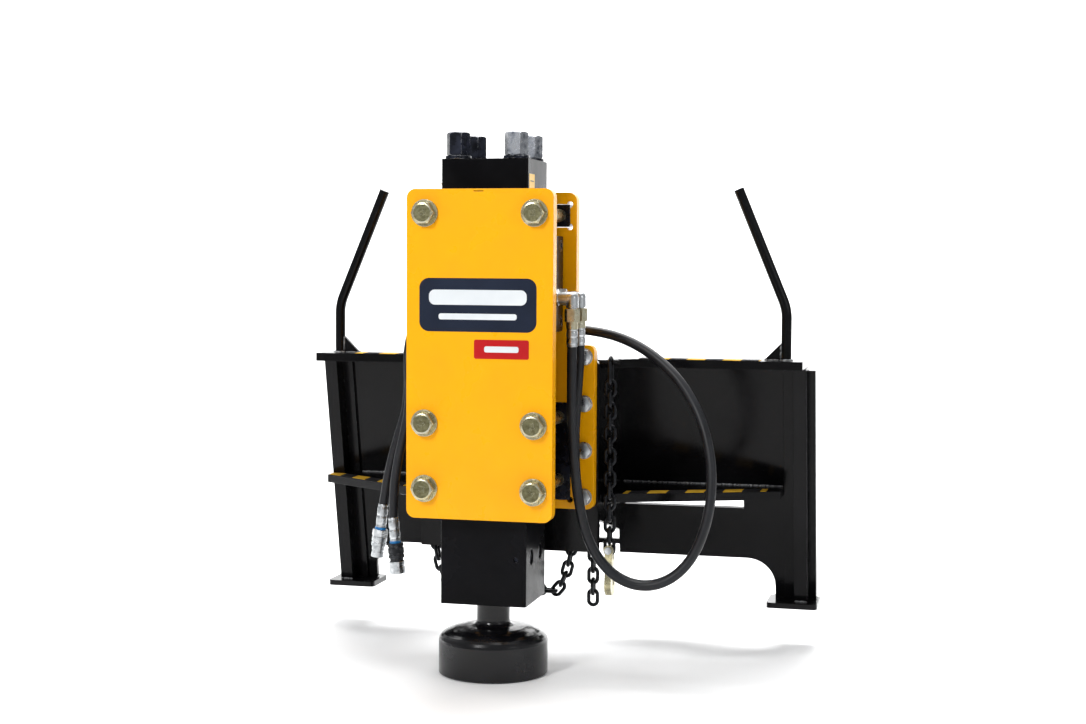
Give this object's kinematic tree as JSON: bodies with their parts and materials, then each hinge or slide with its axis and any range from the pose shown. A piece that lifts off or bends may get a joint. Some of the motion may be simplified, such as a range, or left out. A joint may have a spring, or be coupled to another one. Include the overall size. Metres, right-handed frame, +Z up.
{
  "type": "hydraulic post driver attachment",
  "caption": "Hydraulic hammer with a driving cup, bolted between two side plates on a loader frame with steps, hoses and hanging chains.",
  "frame": {"origin": "centre of the driving cup's mouth, on the tool axis", "axes": "+Z up along the tool axis, the front side plate faces -Y, +X to the right seen from the front"},
  "size_m": [1.124, 0.6076, 1.099],
  "materials": {
    "tool_black": "worn satin paint over forged steel",
    "hammer_black": "semi-gloss paint",
    "bronze": "machined bronze",
    "pin_steel": "ground steel",
    "zinc": "bright zinc plate",
    "ground_steel": "ground and hardened",
    "seal_blue": "polyurethane seal",
    "nut_black": "blackened steel",
    "yellow_zinc": "yellow zinc plate",
    "hose_rubber": "smooth hydraulic hose cover",
    "ring_blue": "moulded ring",
    "pad_plastic": "polyurethane wear pad",
    "plate_yellow": "gloss powder coat",
    "frame_black": "gloss powder coat",
    "grip_tape": "grit tape in yellow and dark bands",
    "chain_black": "blackened chain steel"
  },
  "bodies": {
    "frame": {"front_head": "hammer_black", "tool_bushes": "bronze", "retaining_pins": "pin_steel", "stop_pins": "pin_steel", "grease_nipple": "zinc", "cylinder": "hammer_black", "piston_seals": "seal_blue", "seal_carrier": "ground_steel", "back_head": "hammer_black", "gas_valve": "zinc", "tie_rods": "ground_steel", "tie_rod_nuts": "nut_black", "tie_rod_washers": "nut_black", "valve_chest": "hammer_black", "valve_cap": "zinc", "valve_screws": "nut_black", "port_adaptors": "zinc", "hose_elbows": "zinc", "elbow_nuts": "yellow_zinc", "ferrules_a": "zinc", "ferrules_b": "zinc", "hose_a": "hose_rubber", "hose_b": "hose_rubber", "coupler_rings": "ring_blue", "male_coupler": "zinc", "female_coupler": "nut_black", "wear_pads": "pad_plastic", "front_side_plate": "plate_yellow", "back_side_plate": "plate_yellow", "side_bolts": "yellow_zinc", "side_bolt_washers": "yellow_zinc", "nut_blocks": "nut_black", "nut_bars": "nut_black", "flange_bolts": "zinc", "flange_washers": "zinc", "flange_nuts": "zinc", "box_front_plate": "frame_black", "box_side_plates": "frame_black", "top_plate": "frame_black", "steps": "frame_black", "back_panel": "frame_black", "cross_bar": "frame_black", "legs": "frame_black", "side_bars": "frame_black", "feet": "frame_black", "hook_rail": "frame_black", "lower_lips": "frame_black", "guide_rods": "frame_black", "rod_gussets": "frame_black", "grip_tapes": "grip_tape", "chain_pegs": "frame_black"},
    "tool": {"driver_tool": "tool_black"},
    "piston": {"piston": "ground_steel"},
    "spool": {"valve_spool": "ground_steel"},
    "long_chain": {"long_chain": "chain_black"},
    "hook": {"grab_hook": "yellow_zinc", "hook_pin": "zinc"},
    "swags": {"swag_chains": "chain_black"},
    "tail": {"tail_chain": "chain_black"},
    "sleeve": {"coupler_sleeve": "zinc"}
  },
  "joints": [
    {"name": "tool_slide", "type": "slide", "parent": "frame", "child": "tool", "axis": [0, 0, 1], "range_m": [0, 0.035]},
    {"name": "piston_slide", "type": "slide", "parent": "frame", "child": "piston", "axis": [0, 0, 1], "range_m": [0, 0.07]},
    {"name": "spool_slide", "type": "slide", "parent": "frame", "child": "spool", "axis": [0, 0, 1], "range_m": [0, 0.012]},
    {"name": "long_chain_swing", "type": "hinge", "parent": "frame", "child": "long_chain", "pos_m": [0.217, 0.124, 0.6433], "axis": [0, 1, 0], "range_deg": [-30, 0]},
    {"name": "hook_swing", "type": "hinge", "parent": "long_chain", "child": "hook", "pos_m": [0.217, 0.124, 0.2409], "axis": [0, 1, 0], "range_deg": [-40, 40]},
    {"name": "swag_swing", "type": "hinge", "parent": "frame", "child": "swags", "pos_m": [-0.028, 0.179, 0.2493], "axis": [1, 0, 0], "range_deg": [-15, 15]},
    {"name": "tail_swing", "type": "hinge", "parent": "frame", "child": "tail", "pos_m": [0.171, 0.179, 0.2863], "axis": [1, 0, 0], "range_deg": [-15, 15]},
    {"name": "sleeve_slide", "type": "slide", "parent": "frame", "child": "sleeve", "axis": [-0.0872, 0, 0.9962], "range_m": [0, 0.006]}
  ]
}
